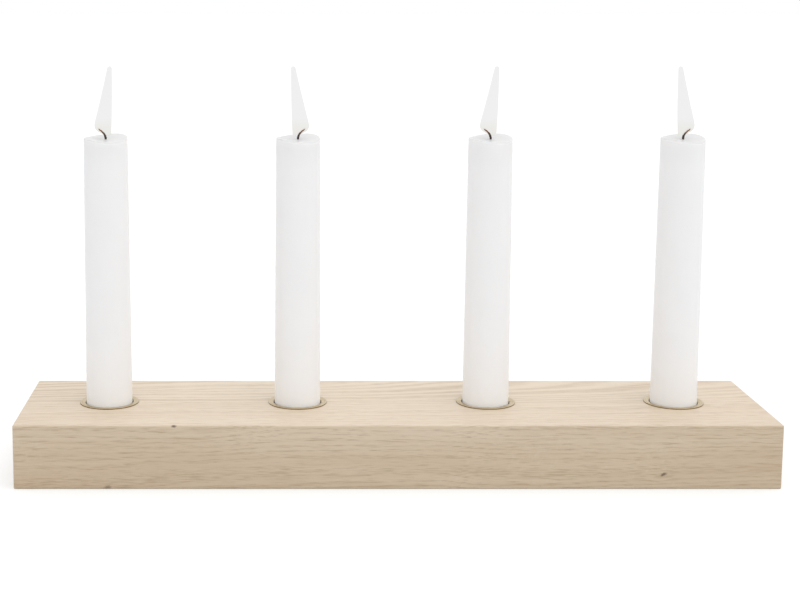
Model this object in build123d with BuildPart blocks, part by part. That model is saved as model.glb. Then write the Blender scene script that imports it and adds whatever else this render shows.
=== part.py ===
from build123d import *
import os

# Advent candle holder: an oak beam with brass cups let into its top, and a lit candle in each cup.
# The origin is the middle of the beam's underside, +X runs along the beam, +Y to its back and +Z up.
# Sizes are in millimetres.

# Oak beam, planed on all sides, with its edges eased
BEAM_LENGTH = 350
BEAM_DEPTH = 80
BEAM_HEIGHT = 30
BEAM_EDGE_RADIUS = 0.7

# Row of candles along the middle of the beam
CANDLE_COUNT = 4
END_MARGIN = 40  # from the beam's end to the axis of the first candle

# Dinner candle, cast in white wax, a little narrower at the top, which has burnt lower towards the front
CANDLE_DIAMETER = 22
CANDLE_TOP_DIAMETER = 20.5
CANDLE_LENGTH = 146.5  # along the axis, from the foot to the level of the rim
BURN_SLOPE = 6  # of the rim, in degrees
SHOULDER_RADIUS = 0.4
RIM_LAND = 0.6  # flat crest between the shoulder and the melt pool
POOL_DEPTH = 0.9

# Candle cup, drawn from brass sheet, closed at the foot, with a flange that lies on the wood
CUP_SHEET = 0.4
CUP_DEPTH = 20  # from the face of the flange to the floor that the candle stands on
CUP_FLANGE_OVERHANG = 2.3  # from the outside of the wall to the edge of the flange
CUP_BEND_RADIUS = 0.3  # under the flange, on the inside of the bend
CUP_FLOOR_RADIUS = 1.2  # between floor and wall, on the candle's side

# Cotton wick, upright through the wax, its free end burnt over to one side
WICK_DIAMETER = 1.2
WICK_RISE = 0.7  # straight part above the pool
WICK_BEND_RADIUS = 4
WICK_BEND_ANGLE = 50
WICK_TIP_LENGTH = 2.6

# Clearances on the radius
CANDLE_CLEARANCE = 0.3  # candle in its cup
CUP_CLEARANCE = 0.1  # cup in the bore of the beam
WICK_CLEARANCE = 0.05  # wick in the wax and in the flame

# Flame, from its foot to below its tip: height above the pool, lean to the wick's bent side, diameter
FLAME_SECTIONS = (
    (2, -1.15, 2.4),
    (6.9, 1.1, 8.1),
    (15.8, -0.1, 6.1),
    (25.2, -1.25, 4.2),
    (34.3, -2.4, 1.3),
)

# Heights and radii that follow from the sizes above
candle_spacing = (BEAM_LENGTH - 2 * END_MARGIN) / (CANDLE_COUNT - 1)
flange_top = BEAM_HEIGHT + CUP_SHEET
candle_foot = flange_top - CUP_DEPTH
candle_crest = candle_foot + CANDLE_LENGTH
pool_floor = candle_crest - POOL_DEPTH
candle_radius = CANDLE_DIAMETER / 2
candle_top_radius = CANDLE_TOP_DIAMETER / 2
uncut_top = candle_crest + candle_top_radius  # of the wax, before the sloping rim is cut
uncut_radius = candle_top_radius + (candle_top_radius - candle_radius) * candle_top_radius / CANDLE_LENGTH
pool_radius = candle_top_radius - SHOULDER_RADIUS - RIM_LAND
pool_ball = (pool_radius**2 + POOL_DEPTH**2) / (2 * POOL_DEPTH)  # radius of the ball that fits the pool
cup_inner = candle_radius + CANDLE_CLEARANCE
cup_outer = cup_inner + CUP_SHEET
flange_radius = cup_outer + CUP_FLANGE_OVERHANG
bore_radius = cup_outer + CUP_CLEARANCE
bore_depth = CUP_DEPTH + CUP_CLEARANCE  # leaves the clearance under the cup as well
wick_hole = WICK_DIAMETER / 2 + WICK_CLEARANCE
candle_places = [END_MARGIN - BEAM_LENGTH / 2 + index * candle_spacing for index in range(CANDLE_COUNT)]

# Section of a cup as radius, height and corner rounding, round the sheet from the middle of the floor
cup_section = (
    (0, candle_foot, 0),
    (cup_inner, candle_foot, CUP_FLOOR_RADIUS),
    (cup_inner, flange_top, CUP_BEND_RADIUS + CUP_SHEET),
    (flange_radius, flange_top, 0),
    (flange_radius, BEAM_HEIGHT, 0),
    (cup_outer, BEAM_HEIGHT, CUP_BEND_RADIUS),
    (cup_outer, candle_foot - CUP_SHEET, CUP_FLOOR_RADIUS + CUP_SHEET),
    (0, candle_foot - CUP_SHEET, 0),
)

os.makedirs("parts", exist_ok=True)

# The beam, with a flat-bottomed blind bore for each cup, its mouth broken to clear the flange's bend
with BuildPart() as oak_beam:
    Box(BEAM_LENGTH, BEAM_DEPTH, BEAM_HEIGHT, align=(Align.CENTER, Align.CENTER, Align.MIN))
    fillet(oak_beam.edges(), BEAM_EDGE_RADIUS)
    with Locations([(place, 0, BEAM_HEIGHT) for place in candle_places]):
        Hole(bore_radius, bore_depth)
    mouths = oak_beam.edges().filter_by(GeomType.CIRCLE).group_by(Axis.Z)[-1]
    chamfer(mouths, CUP_BEND_RADIUS)
oak_beam.part.label = "oak_beam"
export_step(oak_beam.part, "parts/oak_beam.step")

for number, place in enumerate(candle_places, start=1):
    candle_axis = Axis((place, 0, 0), (0, 0, 1))
    section_plane = Plane((place, 0, 0), x_dir=(1, 0, 0), z_dir=(0, -1, 0))
    # The wicks bend to the left and to the right in turn
    bend_side = (-1) ** number
    bend_plane = Plane((place, 0, 0), x_dir=(bend_side, 0, 0), z_dir=(0, -bend_side, 0))

    # The cup hangs in its bore by the flange
    with BuildPart() as cup:
        with BuildSketch(section_plane):
            with BuildLine():
                FilletPolyline(
                    [(radius, height) for radius, height, rounding in cup_section],
                    radius=[rounding for radius, height, rounding in cup_section],
                    close=True,
                )
            make_face()
        revolve(axis=candle_axis)
    cup.part.label = f"candle_cup_{number}"
    export_step(cup.part, f"parts/candle_cup_{number}.step")

    # The candle stands on the cup's floor, its foot chamfered to clear the cup's inner corner
    rim_plane = Plane((place, 0, candle_crest)).rotated((BURN_SLOPE, 0, 0))
    with BuildPart() as candle:
        with BuildSketch(section_plane):
            Polygon(
                (0, candle_foot),
                (candle_radius - CUP_FLOOR_RADIUS, candle_foot),
                (candle_radius, candle_foot + CUP_FLOOR_RADIUS),
                (uncut_radius, uncut_top),
                (0, uncut_top),
                align=None,
            )
        revolve(axis=candle_axis)
        split(bisect_by=rim_plane, keep=Keep.BOTTOM)
        fillet(candle.faces().sort_by(Axis.Z)[-1].edges(), SHOULDER_RADIUS)
        with Locations(rim_plane.offset(pool_ball - POOL_DEPTH)):
            Sphere(pool_ball, mode=Mode.SUBTRACT)
        with Locations((place, 0, candle_foot)):
            Cylinder(
                wick_hole,
                CANDLE_LENGTH,
                align=(Align.CENTER, Align.CENTER, Align.MIN),
                mode=Mode.SUBTRACT,
            )
    candle.part.label = f"candle_{number}"
    export_step(candle.part, f"parts/candle_{number}.step")

    # Line of the wick: up the candle's axis, over in one bend and on to the tip
    with BuildLine(bend_plane) as wick_route:
        stem = Line((0, candle_foot), (0, pool_floor + WICK_RISE))
        bend = JernArc(stem @ 1, stem % 1, WICK_BEND_RADIUS, -WICK_BEND_ANGLE)
        PolarLine(bend @ 1, WICK_TIP_LENGTH, direction=bend % 1)
    wick_start = Plane((place, 0, candle_foot))

    with BuildPart() as wick:
        with BuildSketch(wick_start):
            Circle(WICK_DIAMETER / 2)
        sweep(path=wick_route.line)
    wick.part.label = f"wick_{number}"
    export_step(wick.part, f"parts/wick_{number}.step")

    # The flame stands round the wick's free end
    with BuildPart() as flame:
        for height, lean, diameter in FLAME_SECTIONS:
            with BuildSketch(Plane((place + bend_side * lean, 0, pool_floor + height))):
                Circle(diameter / 2)
        loft()
        with BuildSketch(wick_start):
            Circle(wick_hole)
        sweep(path=wick_route.line, mode=Mode.SUBTRACT)
    flame.part.label = f"flame_{number}"
    export_step(flame.part, f"parts/flame_{number}.step")
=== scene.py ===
import math
import bpy
import numpy as np
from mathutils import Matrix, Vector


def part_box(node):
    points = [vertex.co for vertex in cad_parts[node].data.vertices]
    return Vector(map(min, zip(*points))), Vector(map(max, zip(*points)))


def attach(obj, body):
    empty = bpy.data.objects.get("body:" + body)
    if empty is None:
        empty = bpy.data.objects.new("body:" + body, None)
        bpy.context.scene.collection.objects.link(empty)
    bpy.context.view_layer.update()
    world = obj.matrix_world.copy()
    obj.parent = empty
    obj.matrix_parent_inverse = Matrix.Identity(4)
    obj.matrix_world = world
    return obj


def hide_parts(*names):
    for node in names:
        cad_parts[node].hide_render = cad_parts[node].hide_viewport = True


# An advent candle holder: an oak beam with a row of brass cups, and a lit dinner candle in each.
# Sizes are in millimetres and are turned into the frame's metres where a mesh is made.
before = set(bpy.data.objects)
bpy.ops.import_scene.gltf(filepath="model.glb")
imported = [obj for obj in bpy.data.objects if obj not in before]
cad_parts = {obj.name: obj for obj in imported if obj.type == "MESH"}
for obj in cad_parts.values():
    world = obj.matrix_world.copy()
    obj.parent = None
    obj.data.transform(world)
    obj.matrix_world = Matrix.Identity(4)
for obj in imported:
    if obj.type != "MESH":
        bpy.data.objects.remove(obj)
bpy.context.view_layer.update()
MM = 0.001


# Oak beam
# One length of solid oak, planed square, sanded and left pale and matt, with its edges eased. The heart of
# the tree lay at a slant below its back edge, so the front and most of the top show straight fine lines, the
# back of the top the slanting lines of the rings, and the ends their arcs.

def linear(hex_colour):
    """sRGB hex to linear RGBA: c / 12.92 up to 0.04045, above that ((c + 0.055) / 1.055) to the power 2.4."""
    srgb = np.array([int(hex_colour[start:start + 2], 16) for start in (1, 3, 5)]) / 255
    rgb = np.where(srgb <= 0.04045, srgb / 12.92, ((srgb + 0.055) / 1.055) ** 2.4)
    return (*rgb.tolist(), 1.0)


def add_node(tree, kind, inputs=None, **settings):
    """Adds a node with its settings; each input takes a value, or a link from another node's socket."""
    node = tree.nodes.new(kind)
    for name, value in settings.items():
        setattr(node, name, value)
    for socket, value in (inputs or {}).items():
        if isinstance(value, bpy.types.NodeSocket):
            tree.links.new(value, node.inputs[socket])
        else:
            node.inputs[socket].default_value = value
    return node


def new_material(name):
    """A material with nothing but a Principled shader on its output; gives it, its tree and the shader."""
    material = bpy.data.materials.new(name)
    material.use_nodes = True
    tree = material.node_tree
    tree.nodes.clear()
    shader = add_node(tree, "ShaderNodeBsdfPrincipled")
    add_node(tree, "ShaderNodeOutputMaterial", {"Surface": shader.outputs[0]})
    return material, tree, shader


# Planed oak: pale straw wood, drawn with fine brown pores that crowd at the start of each year's ring, and a
# faint sheen of sanded fibres where it is seen along the surface
OAK_PALE = "#D7C6AF"
OAK_DARK = "#C3AD91"
OAK_PORE = "#997F60"
OAK_RAY = "#DCCFBA"
OAK_KNOT = "#4F3A2A"
BEAM_HALF_LENGTH, BEAM_HEIGHT = 175, 30
WANDER_LENGTH, WANDER_DEPTH = 150, 50
WANDER = (0, 16, 5.2)                    # sideways and upward wander of the grain, over its noise from 0 to 1
PITH_Y, PITH_Z = 60, -70                 # heart of the tree
PITH_TURN = (0, -0.08, 0.08)             # slant of the heart to the beam, in radians
RING_WIDTH = 2.2
RING_UNEVEN = 2.5                        # rings by which a wide or a narrow year moves the others
RING_UNEVEN_RATE = 0.11                  # waves of wide and narrow years per millimetre
SPRING_OVER, SPRING_FULL = 0.42, 0.05    # shares of a ring, from where the spring wood is plainest
PORE_LENGTH, PORE_WIDTH = 8, 0.36        # broader than real pores, so that they show
PORE_SPRING = 0.12                       # added to the noise of the pores in spring wood
PORE_FROM, PORE_TO = 0.5, 0.9            # levels of that noise between which a pore darkens
PORE_COVER = 0.55
FIBRE_LENGTH, FIBRE_WIDTH = 60, 0.45     # streaks of many fibres, coarser than one
TONE_LENGTH, TONE_DEPTH = 150, 10
TONE_SLICE = 2                           # slice of the noise, for where its pale and dark patches fall
RAY_LENGTH, RAY_WIDTH, RAY_HEIGHT = 1.6, 0.5, 3
RAY_PATCH, RAY_PATCH_WEIGHT = 45, 0.6
RAY_FROM, RAY_TO = 0.95, 1.2             # levels of the noise between which a ray shows
RAY_COVER = 0.18
FIGURE_FAINT, FIGURE_PLAIN = 128, 112    # distances from the heart between which the rings grow plain
FIGURE_LOW, FIGURE_HIGH = 0.35, 0.6      # levels of the tone between which they grow plain as well
FIGURE_LEAST = 0.3                       # share of them that shows below the lower level
SPRING_MEAN = 0.45                       # taken off the rings, so that they lighten as well as darken
SHADE_FIGURE, SHADE_FIGURE_FAINT = 0.6, 0.05
SHADE_FIBRE, SHADE_TONE = 0.38, 1.1
# Painted shade: the wood is darkened towards the underside, and towards the ends
PAINTED_SHADE_UNDERSIDE, PAINTED_SHADE_ENDS = 0.42, 0.2
SHADE_PALE, SHADE_DARK = 0.58, 1.48      # sums of the shades that give the pale and the dark colour
RELIEF_PORE, RELIEF_RAY = -0.6, 0.2      # lowest and highest wood
ROUGH_PORE, ROUGH_RAY = 0.5, 0.34

# Knots as place, half length and half height, slant in radians, darkness
KNOTS = (
    ((-101.7, -40, 29.7), (1.0, 0.75), 0, 0.85),
    ((-132.0, -40, 1.0), (1.6, 0.9), 0, 0.5),
    ((121.0, -40, 7.0), (1.5, 0.7), -0.4, 0.8),
)
KNOT_RAGGED, KNOT_RAGGED_RATE = 1.2, 1.4   # depth in half lengths, and number per millimetre, of its notches
KNOT_OVER, KNOT_FULL = 2.1, 0.9            # half lengths, with the notches, at which it ends and is darkest
KNOT_REACH = 6                             # half lengths from a knot at which its swerve has died away
KNOT_PUSH = 1.8

oak, tree, oak_shader = new_material("planed_pale_oak")
place = add_node(tree, "ShaderNodeTexCoord").outputs["Object"]
place = add_node(tree, "ShaderNodeVectorMath", {0: place, "Scale": 1 / MM}, operation="SCALE").outputs[0]

# Grain line: the place, moved sideways by a slow noise that is long along the beam
slow = (1 / WANDER_LENGTH, 1 / WANDER_DEPTH, 1 / WANDER_DEPTH)
slow_place = add_node(tree, "ShaderNodeVectorMath", {0: place, 1: slow}, operation="MULTIPLY").outputs[0]
wander = add_node(tree, "ShaderNodeTexNoise", {"Vector": slow_place, "Scale": 1, "Detail": 2})
wander = add_node(
    tree, "ShaderNodeVectorMath", {0: wander.outputs["Color"], 1: (0.5, 0.5, 0.5)},
    operation="SUBTRACT").outputs[0]
grain = add_node(
    tree, "ShaderNodeVectorMath", {0: wander, 1: WANDER, 2: place}, operation="MULTIPLY_ADD").outputs[0]

# Distance from the slanting heart, which the growth rings follow
from_pith = add_node(
    tree, "ShaderNodeMapping",
    {"Vector": grain, "Location": (0, -PITH_Y, -PITH_Z), "Rotation": PITH_TURN}).outputs[0]
across = add_node(tree, "ShaderNodeVectorMath", {0: from_pith, 1: (0, 1, 1)}, operation="MULTIPLY").outputs[0]
radius = add_node(tree, "ShaderNodeVectorMath", {0: across}, operation="LENGTH").outputs["Value"]

# Knots: a small dark spot each, round which the rings swerve
knot_edge = add_node(
    tree, "ShaderNodeTexNoise", {"Vector": place, "Scale": KNOT_RAGGED_RATE, "Detail": 2}).outputs[0]
knot_marks = []
for knot_place, (half_length, half_height), slant, darkness in KNOTS:
    from_knot = add_node(
        tree, "ShaderNodeMapping",
        {"Vector": place, "Location": knot_place, "Rotation": (0, slant, 0),
         "Scale": (half_length, half_height, half_height)},
        vector_type="TEXTURE").outputs[0]
    distance = add_node(tree, "ShaderNodeVectorMath", {0: from_knot}, operation="LENGTH").outputs["Value"]
    uneven = add_node(
        tree, "ShaderNodeMath", {0: knot_edge, 1: KNOT_RAGGED, 2: distance},
        operation="MULTIPLY_ADD").outputs[0]
    knot_marks.append(add_node(
        tree, "ShaderNodeMapRange",
        {"Value": uneven, "From Min": KNOT_OVER, "From Max": KNOT_FULL, "To Max": darkness},
        interpolation_type="SMOOTHSTEP").outputs[0])
    swerve = add_node(
        tree, "ShaderNodeMapRange",
        {"Value": distance, "From Min": KNOT_REACH, "From Max": 0, "To Max": KNOT_PUSH},
        interpolation_type="SMOOTHSTEP").outputs[0]
    radius = add_node(tree, "ShaderNodeMath", {0: radius, 1: swerve}, operation="ADD").outputs[0]

# Growth rings: that distance divided by the ring's width, and unevenly spaced; each has its spring wood
uneven_years = add_node(
    tree, "ShaderNodeTexNoise", {"W": radius, "Scale": RING_UNEVEN_RATE, "Detail": 1},
    noise_dimensions="1D").outputs[0]
rings = add_node(tree, "ShaderNodeMath", {0: radius, 1: RING_WIDTH}, operation="DIVIDE").outputs[0]
rings = add_node(
    tree, "ShaderNodeMath", {0: uneven_years, 1: RING_UNEVEN, 2: rings}, operation="MULTIPLY_ADD").outputs[0]
from_spring = add_node(tree, "ShaderNodeMath", {0: rings, 1: 0.5}, operation="PINGPONG").outputs[0]
spring = add_node(
    tree, "ShaderNodeMapRange", {"Value": from_spring, "From Min": SPRING_OVER, "From Max": SPRING_FULL},
    interpolation_type="SMOOTHSTEP").outputs[0]

# Pores: the peaks of a noise drawn out along the grain, which is higher in spring wood than later in the year
fine = (1 / PORE_LENGTH, 1 / PORE_WIDTH, 1 / PORE_WIDTH)
pore_place = add_node(tree, "ShaderNodeVectorMath", {0: grain, 1: fine}, operation="MULTIPLY").outputs[0]
pore_noise = add_node(tree, "ShaderNodeTexNoise", {"Vector": pore_place, "Scale": 1, "Detail": 2}).outputs[0]
pore_noise = add_node(
    tree, "ShaderNodeMath", {0: spring, 1: PORE_SPRING, 2: pore_noise}, operation="MULTIPLY_ADD").outputs[0]
pores = add_node(
    tree, "ShaderNodeMapRange",
    {"Value": pore_noise, "From Min": PORE_FROM, "From Max": PORE_TO, "To Max": PORE_COVER},
    interpolation_type="SMOOTHSTEP").outputs[0]

# Fibres and tone: streaks finer and broader than the rings, and painted shade that darkens the wood to the
# underside and ends
streak = (1 / FIBRE_LENGTH, 1 / FIBRE_WIDTH, 1 / FIBRE_WIDTH)
fibre_place = add_node(tree, "ShaderNodeVectorMath", {0: grain, 1: streak}, operation="MULTIPLY").outputs[0]
fibres = add_node(tree, "ShaderNodeTexNoise", {"Vector": fibre_place, "Scale": 1, "Detail": 2}).outputs[0]
broad = (1 / TONE_LENGTH, 1 / TONE_DEPTH, 1 / TONE_DEPTH)
tone_place = add_node(tree, "ShaderNodeVectorMath", {0: grain, 1: broad}, operation="MULTIPLY").outputs[0]
tones = add_node(
    tree, "ShaderNodeTexNoise", {"Vector": tone_place, "W": TONE_SLICE, "Scale": 1, "Detail": 3},
    noise_dimensions="4D").outputs[0]
sides = add_node(tree, "ShaderNodeSeparateXYZ", {0: place}).outputs
# Painted shade: darker from the top face down to the underside
underside = add_node(
    tree, "ShaderNodeMapRange",
    {"Value": sides["Z"], "From Min": BEAM_HEIGHT, "From Max": 0, "To Max": PAINTED_SHADE_UNDERSIDE}).outputs[0]
# Painted shade: darker towards both ends, with the square of the share of the half length
painted_end_shade = add_node(tree, "ShaderNodeMath", {0: sides["X"], 1: BEAM_HALF_LENGTH}, operation="DIVIDE").outputs[0]
painted_end_shade = add_node(tree, "ShaderNodeMath", {0: painted_end_shade, 1: painted_end_shade}, operation="MULTIPLY").outputs[0]

# Figure: lines of spring wood, plain near the heart and faint farther out, that come and go with the tone
plain = add_node(
    tree, "ShaderNodeMapRange",
    {"Value": radius, "From Min": FIGURE_FAINT, "From Max": FIGURE_PLAIN,
     "To Min": SHADE_FIGURE_FAINT, "To Max": SHADE_FIGURE}).outputs[0]
toned = add_node(
    tree, "ShaderNodeMapRange",
    {"Value": tones, "From Min": FIGURE_LOW, "From Max": FIGURE_HIGH, "To Min": FIGURE_LEAST}).outputs[0]
figure = add_node(tree, "ShaderNodeMath", {0: spring, 1: SPRING_MEAN}, operation="SUBTRACT").outputs[0]
figure = add_node(tree, "ShaderNodeMath", {0: figure, 1: plain}, operation="MULTIPLY").outputs[0]

# Ray flecks: thin plates that stand across the rings, plain to see in some patches only
plates = (1 / RAY_LENGTH, 1 / RAY_WIDTH, 1 / RAY_HEIGHT)
ray_place = add_node(tree, "ShaderNodeVectorMath", {0: from_pith, 1: plates}, operation="MULTIPLY").outputs[0]
ray_noise = add_node(tree, "ShaderNodeTexNoise", {"Vector": ray_place, "Scale": 1, "Detail": 1}).outputs[0]
ray_patch = add_node(
    tree, "ShaderNodeTexNoise", {"Vector": place, "Scale": 1 / RAY_PATCH, "Detail": 0}).outputs[0]
ray_noise = add_node(
    tree, "ShaderNodeMath", {0: ray_patch, 1: RAY_PATCH_WEIGHT, 2: ray_noise},
    operation="MULTIPLY_ADD").outputs[0]
flecks = add_node(
    tree, "ShaderNodeMapRange",
    {"Value": ray_noise, "From Min": RAY_FROM, "From Max": RAY_TO, "To Max": RAY_COVER},
    interpolation_type="SMOOTHSTEP").outputs[0]

# Colour: painted shade at the underside and ends, and figure, fibres and tone together shade the pale wood;
# then flecks, pores and knots
shade = underside
for part, weight in ((figure, toned), (painted_end_shade, PAINTED_SHADE_ENDS), (fibres, SHADE_FIBRE), (tones, SHADE_TONE)):
    shade = add_node(
        tree, "ShaderNodeMath", {0: part, 1: weight, 2: shade}, operation="MULTIPLY_ADD").outputs[0]
shade = add_node(
    tree, "ShaderNodeMapRange", {"Value": shade, "From Min": SHADE_PALE, "From Max": SHADE_DARK}).outputs[0]
colour = add_node(
    tree, "ShaderNodeMix", {0: shade, 6: linear(OAK_PALE), 7: linear(OAK_DARK)}, data_type="RGBA").outputs[2]
layers = [(flecks, OAK_RAY), (pores, OAK_PORE)] + [(mark, OAK_KNOT) for mark in knot_marks]
for mask, hex_colour in layers:
    colour = add_node(
        tree, "ShaderNodeMix", {0: mask, 6: colour, 7: linear(hex_colour)}, data_type="RGBA").outputs[2]
tree.links.new(colour, oak_shader.inputs["Base Color"])

# Surface: sanded flat, with the pores open and a little rougher than the rays
relief = add_node(tree, "ShaderNodeMath", {0: flecks, 1: pores}, operation="SUBTRACT").outputs[0]
oak_bump = add_node(tree, "ShaderNodeBump", {"Height": relief, "Strength": 0.3, "Distance": 0.1 * MM})
tree.links.new(oak_bump.outputs[0], oak_shader.inputs["Normal"])
oak_rough = add_node(
    tree, "ShaderNodeMapRange",
    {"Value": relief, "From Min": RELIEF_PORE, "From Max": RELIEF_RAY,
     "To Min": ROUGH_PORE, "To Max": ROUGH_RAY}).outputs[0]
tree.links.new(oak_rough, oak_shader.inputs["Roughness"])
oak_shader.inputs["Sheen Weight"].default_value = 0.13
oak_shader.inputs["Sheen Roughness"].default_value = 0.5

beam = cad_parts["oak_beam"]
beam.data.materials.clear()
beam.data.materials.append(oak)


# Candle cups
# Each is drawn from brass sheet to a closed cup with a flat flange, and is pressed into its bore until the
# flange lies on the wood. The face of the flange keeps fine turning marks.

CANDLES = (1, 2, 3, 4)
COLUMNS = 96                 # steps round a turned piece
SHARP = math.radians(40)     # angle between two faces from which their edge is drawn sharp
CUP_SHEET = 0.4
CUP_BEND = 0.3               # inside radius under the flange
CUP_FLOOR_CORNER = 1.2       # inside radius between floor and wall
CUP_WALL_INSIDE = 11.3
FLANGE_EDGE = 0.12           # the edge of the sheet is broken
POLE = 0.01                  # radius left at the middle of a closed end
BRASS = "#D1C0A0"
BRASS_DULL = "#B9A57F"
# painted shade: dark brown for the rim of the flange, standing in for the shadow on its edge
BRASS_PAINTED_EDGE_SHADE = "#7F6B4A"
TURNING_MARK = 0.35          # spacing of the marks, coarser than real so that they show
BRASS_STAIN = 6
DULL_FROM, DULL_TO = 0.12, 0.42          # levels of marks times stain between which the metal dulls
BRASS_ROUGH, BRASS_DULL_ROUGH = 0.26, 0.42


def box_mm(node):
    """Low and high corner of the box round a CAD piece, in millimetres."""
    return [np.array(corner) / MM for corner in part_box(node)]


def arc(centre, size, start, end, steps=8):
    """Points on a circle: centre + size * (cos a, sin a), for angles a from start to end in degrees."""
    angle = np.radians(np.linspace(start, end, steps))
    return np.stack([centre[0] + size * np.cos(angle), centre[1] + size * np.sin(angle)], axis=-1)


def turned(section, columns=COLUMNS):
    """Grid of a turned piece: (r cos t, r sin t, z) for each point (r, z) of the section and each angle t."""
    angle = np.linspace(0, 2 * np.pi, columns, endpoint=False)
    r, z = section[:, :1], section[:, 1:]
    return np.stack([r * np.cos(angle), r * np.sin(angle), z + 0 * angle], axis=-1)


def skin(name, grid, material, loop=False):
    """Mesh over a grid of rings, in millimetres: a quad between neighbouring rings and columns. The rings
    close on themselves, and the last joins the first if loop is set; otherwise a face closes each end.
    The map's u is the share of the way round, and its v is the length along the section in millimetres."""
    rings, columns = grid.shape[:2]
    ring, column = np.meshgrid(np.arange(rings - (not loop)), np.arange(columns), indexing="ij")
    above, beside = (ring + 1) % rings, (column + 1) % columns
    quads = np.stack([ring * columns + column, ring * columns + beside,
                      above * columns + beside, above * columns + column], axis=-1).reshape(-1, 4)
    faces = quads.tolist()
    if not loop:
        first = np.arange(columns)
        faces += [first[::-1].tolist(), (first + (rings - 1) * columns).tolist()]
    mesh = bpy.data.meshes.new(name)
    mesh.from_pydata((grid.reshape(-1, 3) * MM).tolist(), [], faces)
    steps = np.linalg.norm(np.diff(grid[:, 0], axis=0, append=grid[:1, 0]), axis=-1)
    along = np.concatenate([[0], np.cumsum(steps)])
    u = np.stack([column, column + 1, column + 1, column], axis=-1) / columns
    v = along[np.stack([ring, ring, ring + 1, ring + 1], axis=-1)]
    uv = np.zeros((len(mesh.loops), 2))
    uv[:u.size] = np.stack([u, v], axis=-1).reshape(-1, 2)
    mesh.uv_layers.new(name="along").data.foreach_set("uv", uv.ravel())
    mesh.polygons.foreach_set("use_smooth", np.ones(len(mesh.polygons), bool))
    mesh.set_sharp_from_angle(angle=SHARP)
    mesh.materials.append(material)
    piece = bpy.data.objects.new(name, mesh)
    bpy.context.scene.collection.objects.link(piece)
    return piece


# Section of a cup: from the middle of the floor's underside up the outside, round the flange, down the inside
cup_low, cup_high = box_mm("candle_cup_1")
flange = (cup_high[0] - cup_low[0]) / 2
cup_top, wood, cup_floor = cup_high[2], cup_high[2] - CUP_SHEET, cup_low[2] + CUP_SHEET
floor_corner = (CUP_WALL_INSIDE - CUP_FLOOR_CORNER, cup_floor + CUP_FLOOR_CORNER)
bend = (CUP_WALL_INSIDE + CUP_SHEET + CUP_BEND, wood - CUP_BEND)
cup_section = np.concatenate([
    [(POLE, cup_low[2])],
    arc(floor_corner, CUP_FLOOR_CORNER + CUP_SHEET, -90, 0),
    arc(bend, CUP_BEND, 180, 90),
    [(flange, wood)],
    arc((flange - FLANGE_EDGE, cup_top - FLANGE_EDGE), FLANGE_EDGE, 0, 90),
    arc(bend, CUP_BEND + CUP_SHEET, 90, 180),
    arc(floor_corner, CUP_FLOOR_CORNER, 0, -90),
    [(POLE, cup_floor)],
])
edge_along = np.cumsum(np.linalg.norm(np.diff(cup_section, axis=0, prepend=cup_section[:1]), axis=-1))
edge_along = edge_along[cup_section[:, 0] > flange - FLANGE_EDGE / 2]
edge_middle, edge_half = (edge_along[0] + edge_along[-1]) / 2, (edge_along[-1] - edge_along[0]) / 2

# Drawn brass: a pale satin yellow metal, a little duller in the turning marks, and painted shade in dark
# brown on the rim of the flange
brass, tree, brass_shader = new_material("drawn_brass_sheet")
along_map = add_node(tree, "ShaderNodeUVMap", uv_map="along").outputs[0]
along = add_node(tree, "ShaderNodeSeparateXYZ", {0: along_map}).outputs["Y"]
# Painted shade: the band of the section round the rim of the flange takes the dark brown
painted_edge_shade = add_node(
    tree, "ShaderNodeMath", {0: along, 1: edge_middle, 2: edge_half}, operation="COMPARE").outputs[0]
marks = add_node(
    tree, "ShaderNodeTexNoise", {"W": along, "Scale": 1 / TURNING_MARK, "Detail": 3},
    noise_dimensions="1D").outputs[0]
stain_place = add_node(tree, "ShaderNodeTexCoord").outputs["Object"]
stain = add_node(
    tree, "ShaderNodeTexNoise",
    {"Vector": stain_place, "Scale": 1 / (BRASS_STAIN * MM), "Detail": 3}).outputs[0]
dull = add_node(tree, "ShaderNodeMath", {0: marks, 1: stain}, operation="MULTIPLY").outputs[0]
dull = add_node(
    tree, "ShaderNodeMapRange", {"Value": dull, "From Min": DULL_FROM, "From Max": DULL_TO}).outputs[0]
brass_colour = add_node(
    tree, "ShaderNodeMix", {0: dull, 6: linear(BRASS), 7: linear(BRASS_DULL)}, data_type="RGBA").outputs[2]
brass_colour = add_node(
    tree, "ShaderNodeMix", {0: painted_edge_shade, 6: brass_colour, 7: linear(BRASS_PAINTED_EDGE_SHADE)}, data_type="RGBA").outputs[2]
tree.links.new(brass_colour, brass_shader.inputs["Base Color"])
brass_shader.inputs["Metallic"].default_value = 1
brass_rough = add_node(
    tree, "ShaderNodeMapRange", {"Value": dull, "To Min": BRASS_ROUGH, "To Max": BRASS_DULL_ROUGH}).outputs[0]
tree.links.new(brass_rough, brass_shader.inputs["Roughness"])
brass_bump = add_node(tree, "ShaderNodeBump", {"Height": marks, "Strength": 0.2, "Distance": 0.03 * MM})
tree.links.new(brass_bump.outputs[0], brass_shader.inputs["Normal"])

for number in CANDLES:
    node = f"candle_cup_{number}"
    low, high = box_mm(node)
    grid = turned(cup_section) + ((low[0] + high[0]) / 2, 0, 0)
    cup = skin(f"cup_{number}", grid, brass)
    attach(cup, "holder")
    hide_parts(node)


# Candles
# Dinner candles of white paraffin wax, slightly tapered and smooth from the mould. Each has burnt for a few
# minutes: its shoulder is rounded, its rim has sunk towards the front, and wax has pooled round the wick.

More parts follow.
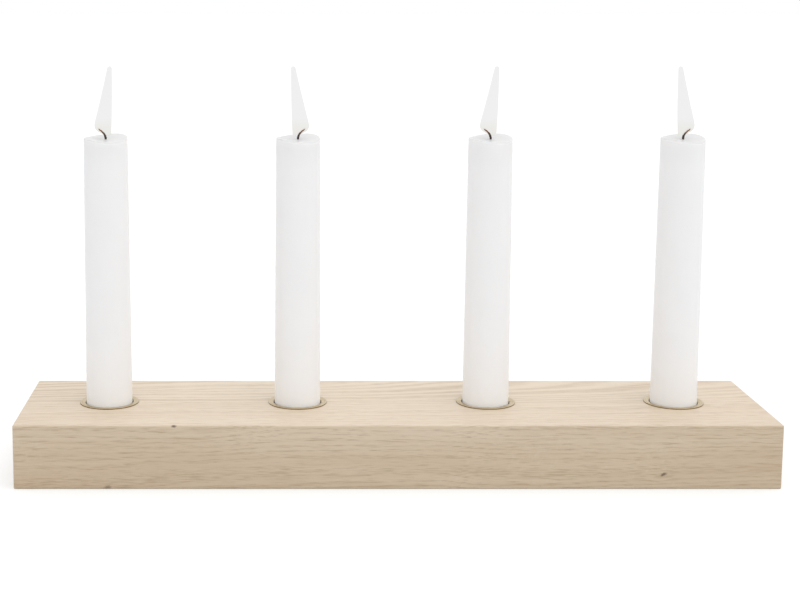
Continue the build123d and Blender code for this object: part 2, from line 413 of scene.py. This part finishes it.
CANDLE_LENGTH = 146.5                      # along the axis, from the foot to the level of the rim
CANDLE_TOP = 10.25                         # radius under the shoulder
SHOULDER = 0.4
RIM_LAND = 0.6                             # flat crest between the shoulder and the pool
POOL_DEPTH = 0.9
MENISCUS_RISE, MENISCUS_REACH = 0.3, 0.4   # wax drawn up the wick
FOOT_CHAMFER = 1.2
WICK_HOLE = 0.5                            # the wax grips the wick
BURN_SLOPE = math.radians(6)               # of the rim, down to the front
RIM_WAVE = 0.55                            # rise of the rim at the right of the back, and fall at the left
BURN_REACH = 25                            # depth below the rim at which the rings are level again
WAX = "#F6F6F7"
# Grey of the top: partly melted clear wax, partly painted shade that keeps the top, turned to the lamp, as
# dark as the sides
WAX_MELT_AND_PAINTED_SHADE = "#D7D7D7"
MELT_FROM, MELT_TO = 0.88, 0.32            # lengths below the top of the shoulder over which the wax greys: melted clear, and painted shade on the top
PAINTED_RIM_SHADE_REACH, PAINTED_RIM_SHADE_GREY = 14, 0.14           # depth below the rim to which painted shade greys the wax, and how grey that is at the rim
WAX_CLOUD = 14
CLOUD_FROM, CLOUD_TO, CLOUD_GREY = 0.3, 0.7, 0.06
WAX_RIPPLE, WAX_RIPPLE_LENGTH = 2.5, 30
WAX_ROUGH, WAX_MELTED_ROUGH = 0.5, 0.32
BODY_RINGS, SHOULDER_RINGS, POOL_RINGS = 60, 12, 24

# Section of a candle: from the wick out along the foot, up the side, over the shoulder and in across the pool
candle_low, candle_high = box_mm("candle_1")
candle_base, candle_foot = (candle_high[0] - candle_low[0]) / 2, candle_low[2]
rim = candle_foot + CANDLE_LENGTH
pool_edge = CANDLE_TOP - SHOULDER - RIM_LAND
pool_radius = np.linspace(pool_edge, WICK_HOLE, POOL_RINGS)
pool_height = rim - POOL_DEPTH * (1 - (pool_radius / pool_edge) ** 2)
pool_height = pool_height + MENISCUS_RISE * np.exp((WICK_HOLE - pool_radius) / MENISCUS_REACH)
candle_section = np.concatenate([
    [(WICK_HOLE, candle_foot)],
    np.linspace((candle_base - FOOT_CHAMFER, candle_foot), (candle_base, candle_foot + FOOT_CHAMFER), 2),
    np.linspace((candle_base, candle_foot + FOOT_CHAMFER), (CANDLE_TOP, rim - SHOULDER), BODY_RINGS)[1:],
    arc((CANDLE_TOP - SHOULDER, rim - SHOULDER), SHOULDER, 0, 90, SHOULDER_RINGS)[1:],
    np.stack([pool_radius, pool_height], axis=-1),
])
wax_along = np.cumsum(np.linalg.norm(np.diff(candle_section, axis=0, prepend=candle_section[:1]), axis=-1))
rim_starts = wax_along[-POOL_RINGS] - RIM_LAND

# Paraffin wax: a white, faintly cloudy and translucent body, greyed a trace by painted shade towards the rim,
# and grey and shinier over the top, where it has melted clear and painted shade keeps it as dark as the sides
wax, tree, wax_shader = new_material("moulded_paraffin_wax")
along_map = add_node(tree, "ShaderNodeUVMap", uv_map="along").outputs[0]
along = add_node(tree, "ShaderNodeSeparateXYZ", {0: along_map}).outputs["Y"]
# Melted top: partly melted clear wax, partly painted shade
melt_and_painted_shade = add_node(
    tree, "ShaderNodeMapRange",
    {"Value": along, "From Min": rim_starts - MELT_FROM, "From Max": rim_starts - MELT_TO}).outputs[0]
# Painted shade: the wax greys towards the rim, holding back the light that the lit top lets into the wax
painted_rim_shade = add_node(
    tree, "ShaderNodeMapRange",
    {"Value": along, "From Min": rim_starts - PAINTED_RIM_SHADE_REACH, "From Max": rim_starts,
     "To Max": PAINTED_RIM_SHADE_GREY}).outputs[0]
wax_place = add_node(tree, "ShaderNodeTexCoord").outputs["Object"]
cloud = add_node(
    tree, "ShaderNodeTexNoise", {"Vector": wax_place, "Scale": 1 / (WAX_CLOUD * MM), "Detail": 3}).outputs[0]
cloud = add_node(
    tree, "ShaderNodeMapRange",
    {"Value": cloud, "From Min": CLOUD_FROM, "From Max": CLOUD_TO, "To Max": CLOUD_GREY}).outputs[0]
grey = add_node(tree, "ShaderNodeMath", {0: cloud, 1: painted_rim_shade}, operation="ADD").outputs[0]
grey = add_node(tree, "ShaderNodeMath", {0: grey, 1: melt_and_painted_shade}, operation="MAXIMUM").outputs[0]
wax_colour = add_node(
    tree, "ShaderNodeMix", {0: grey, 6: linear(WAX), 7: linear(WAX_MELT_AND_PAINTED_SHADE)}, data_type="RGBA").outputs[2]
tree.links.new(wax_colour, wax_shader.inputs["Base Color"])
wax_rough = add_node(
    tree, "ShaderNodeMapRange", {"Value": melt_and_painted_shade, "To Min": WAX_ROUGH, "To Max": WAX_MELTED_ROUGH}).outputs[0]
tree.links.new(wax_rough, wax_shader.inputs["Roughness"])
wax_shader.inputs["IOR"].default_value = 1.44
wax_shader.inputs["Subsurface Weight"].default_value = 0.3
wax_shader.inputs["Subsurface Radius"].default_value = (1, 0.95, 0.9)
wax_shader.inputs["Subsurface Scale"].default_value = 3 * MM
ripple = [1 / size / MM for size in (WAX_RIPPLE, WAX_RIPPLE, WAX_RIPPLE_LENGTH)]
ripple_place = add_node(
    tree, "ShaderNodeVectorMath", {0: wax_place, 1: ripple}, operation="MULTIPLY").outputs[0]
ripples = add_node(tree, "ShaderNodeTexNoise", {"Vector": ripple_place, "Scale": 1, "Detail": 3}).outputs[0]
wax_bump = add_node(tree, "ShaderNodeBump", {"Height": ripples, "Strength": 0.15, "Distance": 0.1 * MM})
tree.links.new(wax_bump.outputs[0], wax_shader.inputs["Normal"])

# Burnt rim: near the top, the height grows by y times the slope, and by the wave times the sine of twice the
# angle round the candle, which is 2 x y over the radius squared
candle_grid = turned(candle_section)
x, y, z = np.moveaxis(candle_grid, -1, 0)
near_rim = np.clip((z - rim + BURN_REACH) / (BURN_REACH - SHOULDER - POOL_DEPTH), 0, 1)
candle_grid[..., 2] += near_rim * (y * math.tan(BURN_SLOPE) + RIM_WAVE * 2 * x * y / CANDLE_TOP ** 2)

for number in CANDLES:
    node = f"candle_{number}"
    low, high = box_mm(node)
    candle = skin(f"wax_candle_{number}", candle_grid + ((low[0] + high[0]) / 2, 0, 0), wax, loop=True)
    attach(candle, f"lit_candle_{number}")
    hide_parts(node)


# Wicks
# A round cotton braid, cast into the wax from foot to pool. Above the pool it is charred and bends over to
# one side, left and right in turn, so that its tip burns away brown at the edge of the flame.

WICK_RADIUS = 0.6
WICK_RISE = 0.7                        # straight part above the pool
WICK_BEND_RADIUS = 4
WICK_BEND = math.radians(50)
WICK_TIP = 2.6
WICK_TAPER = 0.2                       # share of its width that the free end has lost at the tip
TIP_LEAST = 0.02                       # share of its rounding that the last ring keeps
BRAID_PITCH = 1.6                      # length of one crossing of the strands
BRAID_STRANDS = 3
BRAID_MEAN, BRAID_SWELL = 0.88, 0.1    # shares of the radius
WICK_COTTON = "#CFC6B6"
WICK_CHAR = "#3C2F29"
WICK_TIP_BROWN = "#A86F42"
CHAR_BELOW, CHAR_ABOVE = 0.6, 0.4      # lengths below and above the pool between which the cotton chars
BROWN_FROM, BROWN_TO = 4.5, 0.5        # lengths before the tip between which the char turns brown
BROWN_COVER = 1.5                      # before the yarn's noise, which takes away about half
YARN = 0.4                             # coarser than real cotton, so that it shows
WICK_COLUMNS, WICK_FREE_RINGS, WICK_CAST_RINGS = 24, 90, 60

cast_length = CANDLE_LENGTH - POOL_DEPTH
free_length = WICK_RISE + WICK_BEND_RADIUS * WICK_BEND + WICK_TIP
wick_length = cast_length + free_length

# Burnt cotton: waxy off-white below the pool, dull dark char above it, brown where the tip burns away
char, tree, char_shader = new_material("burnt_cotton_braid")
along_map = add_node(tree, "ShaderNodeUVMap", uv_map="along").outputs[0]
along = add_node(tree, "ShaderNodeSeparateXYZ", {0: along_map}).outputs["Y"]
burnt = add_node(
    tree, "ShaderNodeMapRange",
    {"Value": along, "From Min": cast_length - CHAR_BELOW, "From Max": cast_length + CHAR_ABOVE}).outputs[0]
tip = add_node(
    tree, "ShaderNodeMapRange",
    {"Value": along, "From Min": wick_length - BROWN_FROM, "From Max": wick_length - BROWN_TO,
     "To Max": BROWN_COVER}).outputs[0]
yarn_place = add_node(tree, "ShaderNodeTexCoord").outputs["Object"]
yarn = add_node(
    tree, "ShaderNodeTexNoise", {"Vector": yarn_place, "Scale": 1 / (YARN * MM), "Detail": 3}).outputs[0]
tip = add_node(tree, "ShaderNodeMath", {0: tip, 1: yarn}, operation="MULTIPLY").outputs[0]
char_colour = add_node(
    tree, "ShaderNodeMix", {0: burnt, 6: linear(WICK_COTTON), 7: linear(WICK_CHAR)},
    data_type="RGBA").outputs[2]
char_colour = add_node(
    tree, "ShaderNodeMix", {0: tip, 6: char_colour, 7: linear(WICK_TIP_BROWN)}, data_type="RGBA").outputs[2]
tree.links.new(char_colour, char_shader.inputs["Base Color"])
char_shader.inputs["Roughness"].default_value = 0.85
char_bump = add_node(tree, "ShaderNodeBump", {"Height": yarn, "Strength": 0.5, "Distance": 0.1 * MM})
tree.links.new(char_bump.outputs[0], char_shader.inputs["Normal"])

# Line of the wick: its angle from upright is 0 up to the bend, then grows evenly to the bend's angle; the
# place is the running sum of (sin angle, cos angle) times the step
cast = np.linspace(0, cast_length + WICK_RISE, WICK_CAST_RINGS, endpoint=False)
length = np.concatenate([cast, np.linspace(cast_length + WICK_RISE, wick_length, WICK_FREE_RINGS)])
angle = np.clip((length - cast_length - WICK_RISE) / WICK_BEND_RADIUS, 0, WICK_BEND)
step = np.diff(length, prepend=0)
side = np.cumsum(np.sin(angle) * step)
height = np.cumsum(np.cos(angle) * step)

# Braid: two sets of strands cross, so the radius swells with the larger of cos(n t + k s) and cos(n t - k s)
turn = np.linspace(0, 2 * np.pi, WICK_COLUMNS, endpoint=False)
crossing = 2 * np.pi * length[:, None] / BRAID_PITCH
strand = np.maximum(np.cos(BRAID_STRANDS * turn + crossing), np.cos(BRAID_STRANDS * turn - crossing))
tip_round = np.sqrt(np.clip((wick_length - length) / WICK_RADIUS, TIP_LEAST, 1))
taper = 1 - WICK_TAPER * np.clip((length - cast_length) / free_length, 0, 1)
swell = WICK_RADIUS * (BRAID_MEAN + BRAID_SWELL * strand) * (tip_round * taper)[:, None]
out_side = swell * np.cos(turn) * np.cos(angle)[:, None]
out_height = -swell * np.cos(turn) * np.sin(angle)[:, None]

for number in CANDLES:
    node = f"wick_{number}"
    bend_side = (-1) ** number
    low, high = box_mm(f"candle_{number}")
    grid = np.stack([
        (low[0] + high[0]) / 2 + bend_side * (side[:, None] + out_side),
        bend_side * swell * np.sin(turn),
        low[2] + height[:, None] + out_height,
    ], axis=-1)
    wick = skin(f"cotton_wick_{number}", grid, char)
    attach(wick, f"lit_candle_{number}")
    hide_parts(node)


# Flames
# Burning wax vapour, drawn as the even pale light that a bright picture leaves of it: a leaning drop that
# stands on the wick, thin and slightly warm at its foot, with one upright edge and one slanting to the tip.

# Edges as curves of side and height above the pool; side grows to where the wick bends
BENT_FOOT = ((0.2, 2), (1.8, 3.4), (5.15, 3.6), (5.15, 6.7))
BENT_SLANT = ((5.15, 6.7), (5.15, 8.2), (3.1, 14.2), (-1.4, 34.3))
UPRIGHT = ((-2.6, 2), (-3.1, 9.6), (-3.4, 21.6), (-3.4, 34.3))
EDGE_STEPS = 200                           # points on each curve
FOOT_ROUND, TIP_ROUND = 0.8, 1.0           # heights over which the ends are rounded
END_LEAST = 0.0005                         # share of its rounding that the first and last ring keep
FLAME_DEPTH = 0.9                          # thickness from front to back over its width
FOOT_DEPTH = 0.38                          # half thickness at the foot, less than the wick's
FOOT_THIN, FOOT_FULL = 4.5, 9.5            # heights between which the foot thickens
FLAME_RINGS, FLAME_COLUMNS = 90, 48
FLAME_LIGHT = "#F0F0F0"
FLAME_FOOT_LIGHT = "#E9E8E3"
FOOT_CLEAR, FOOT_OVER = 3, 11              # heights between which the foot's light turns to the body's
FOOT_COVER = 0.75                          # how much the foot hides of what is behind it


def bezier(points, share):
    """Cubic curve from the first to the last of four points, drawn towards the middle two: the sum of the
    points times 1, 3, 3, 1 and the powers of the share and of what is left of it."""
    left = 1 - share
    weights = np.stack([left ** 3, 3 * left ** 2 * share, 3 * left * share ** 2, share ** 3], axis=-1)
    return weights @ np.array(points)


# Candle flame: light of its own and no gloss, a little clearer and yellower round the wick
pool_floor = rim - POOL_DEPTH
fire, tree, fire_shader = new_material("candle_flame")
flame_place = add_node(tree, "ShaderNodeTexCoord").outputs["Object"]
flame_height = add_node(tree, "ShaderNodeSeparateXYZ", {0: flame_place}).outputs["Z"]
body = add_node(
    tree, "ShaderNodeMapRange",
    {"Value": flame_height, "From Min": (pool_floor + FOOT_CLEAR) * MM,
     "From Max": (pool_floor + FOOT_OVER) * MM},
    interpolation_type="SMOOTHSTEP").outputs[0]
fire_colour = add_node(
    tree, "ShaderNodeMix", {0: body, 6: linear(FLAME_FOOT_LIGHT), 7: linear(FLAME_LIGHT)},
    data_type="RGBA").outputs[2]
cover = add_node(tree, "ShaderNodeMapRange", {"Value": body, "To Min": FOOT_COVER, "To Max": 1}).outputs[0]
tree.links.new(fire_colour, fire_shader.inputs["Emission Color"])
tree.links.new(cover, fire_shader.inputs["Alpha"])
fire_shader.inputs["Emission Strength"].default_value = 1
fire_shader.inputs["Base Color"].default_value = (0, 0, 0, 1)
fire_shader.inputs["Specular IOR Level"].default_value = 0
fire_shader.inputs["Roughness"].default_value = 1

# Rings: each lies level between the two edges, and is nearly as deep as it is wide, but for the thin foot
share = np.linspace(0, 1, EDGE_STEPS)
bent = np.concatenate([bezier(BENT_FOOT, share), bezier(BENT_SLANT, share[1:])])
upright = bezier(UPRIGHT, share)
foot_height, tip_height = UPRIGHT[0][1], UPRIGHT[-1][1]
height = foot_height + (tip_height - foot_height) * (1 - np.cos(np.linspace(0, np.pi, FLAME_RINGS))) / 2
right = np.interp(height, bent[:, 1], bent[:, 0])
left = np.interp(height, upright[:, 1], upright[:, 0])
rounding = np.minimum((height - foot_height) / FOOT_ROUND, (tip_height - height) / TIP_ROUND)
rounding = np.clip(rounding, END_LEAST, 1)
rounding = np.sqrt(rounding * (2 - rounding))
half = (right - left) / 2 * rounding
full = np.clip((height - FOOT_THIN) / (FOOT_FULL - FOOT_THIN), 0, 1)
full = full * full * (3 - 2 * full)
depth = FLAME_DEPTH * half * full + FOOT_DEPTH * rounding * (1 - full)
turn = np.linspace(0, 2 * np.pi, FLAME_COLUMNS, endpoint=False)
flame_side = ((right + left) / 2)[:, None] + half[:, None] * np.cos(turn)
flame_depth = depth[:, None] * np.sin(turn)
flame_rise = pool_floor + height[:, None] + 0 * turn

for number in CANDLES:
    node = f"flame_{number}"
    bend_side = (-1) ** number
    low, high = box_mm(f"candle_{number}")
    middle = (low[0] + high[0]) / 2
    grid = np.stack([middle + bend_side * flame_side, bend_side * flame_depth, flame_rise], axis=-1)
    flame = skin(f"candle_flame_{number}", grid, fire)
    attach(flame, f"lit_candle_{number}")
    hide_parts(node)


# Floor
# A plain pale surface that runs on without an edge, and takes the holder's soft shadow. It shows white, and
# throws only a part of the light back up at the holder.

FLOOR_REACH = 15000
FLOOR_SHOWN = "#C0C0C0"
FLOOR_GLOW = 0.45            # added white where the floor shows, so that its shadow stays faint
FLOOR_THROWN = "#D0D0D0"


def shown(tree):
    """1 on rays that show the surroundings, directly or in gloss or glass, else 0: the largest of three."""
    path = add_node(tree, "ShaderNodeLightPath").outputs
    shows = add_node(
        tree, "ShaderNodeMath", {0: path["Is Camera Ray"], 1: path["Is Glossy Ray"]},
        operation="MAXIMUM").outputs[0]
    return add_node(
        tree, "ShaderNodeMath", {0: shows, 1: path["Is Transmission Ray"]}, operation="MAXIMUM").outputs[0]


pale, tree, pale_shader = new_material("plain_pale_floor")
floor_shows = shown(tree)
pale_colour = add_node(
    tree, "ShaderNodeMix", {0: floor_shows, 6: linear(FLOOR_THROWN), 7: linear(FLOOR_SHOWN)},
    data_type="RGBA").outputs[2]
tree.links.new(pale_colour, pale_shader.inputs["Base Color"])
pale_glow = add_node(tree, "ShaderNodeMath", {0: floor_shows, 1: FLOOR_GLOW}, operation="MULTIPLY").outputs[0]
tree.links.new(pale_glow, pale_shader.inputs["Emission Strength"])
pale_shader.inputs["Emission Color"].default_value = (1, 1, 1, 1)
pale_shader.inputs["Roughness"].default_value = 0.9
pale_shader.inputs["Specular IOR Level"].default_value = 0.1
floor_mesh = bpy.data.meshes.new("floor")
corners = FLOOR_REACH * MM * np.array([(-1, -1, 0), (1, -1, 0), (1, 1, 0), (-1, 1, 0)])
floor_mesh.from_pydata(corners.tolist(), [], [(0, 1, 2, 3)])
floor_mesh.materials.append(pale)
floor_plane = bpy.data.objects.new("floor", floor_mesh)
bpy.context.scene.collection.objects.link(floor_plane)


# Light
# A bright white room, and one very broad soft lamp high on the right, a little in front of the holder. The
# candles are a trace darker on their left, and the beam is palest on its top.

ROOM_LIGHT = 0.95
LAMP_LIGHT = 0.95
LAMP_SPREAD = math.radians(60)
LAMP_HEIGHT, LAMP_TURN = math.radians(71), math.radians(55)

world = bpy.data.worlds.new("white_room")
bpy.context.scene.world = world
world.use_nodes = True
tree = world.node_tree
tree.nodes.clear()
strength = add_node(
    tree, "ShaderNodeMapRange", {"Value": shown(tree), "To Min": ROOM_LIGHT, "To Max": 1}).outputs[0]
room = add_node(tree, "ShaderNodeBackground", {"Color": (1, 1, 1, 1), "Strength": strength})
add_node(tree, "ShaderNodeOutputWorld", {"Surface": room.outputs[0]})

lamp = bpy.data.lights.new("broad_soft_lamp", "SUN")
lamp.energy = LAMP_LIGHT
lamp.angle = LAMP_SPREAD
lamp_object = bpy.data.objects.new("broad_soft_lamp", lamp)
lamp_object.rotation_euler = (math.pi / 2 - LAMP_HEIGHT, 0, LAMP_TURN)
bpy.context.scene.collection.objects.link(lamp_object)


# Camera
# At the photograph's place: a little above the flames and left of the middle, its lens shifted so that the
# long edges of the beam stay level.

PICTURE_WIDTH, PICTURE_HEIGHT = 800, 600
LENS_AXIS = (272, 205)       # pixel that the lens points at
LENS = 67.9
CAMERA_PLACE = (-57.2, -702.9, 224.0)
CAMERA_DOWN = math.radians(8)

camera = bpy.data.cameras.new("camera")
camera.lens = LENS
camera.shift_x = (PICTURE_WIDTH / 2 - LENS_AXIS[0]) / PICTURE_WIDTH
camera.shift_y = (LENS_AXIS[1] - PICTURE_HEIGHT / 2) / PICTURE_WIDTH
camera_object = bpy.data.objects.new("camera", camera)
camera_object.location = [distance * MM for distance in CAMERA_PLACE]
camera_object.rotation_euler = (math.pi / 2 - CAMERA_DOWN, 0, 0)
bpy.context.scene.collection.objects.link(camera_object)
bpy.context.scene.camera = camera_object
bpy.context.scene.view_settings.view_transform = "Standard"
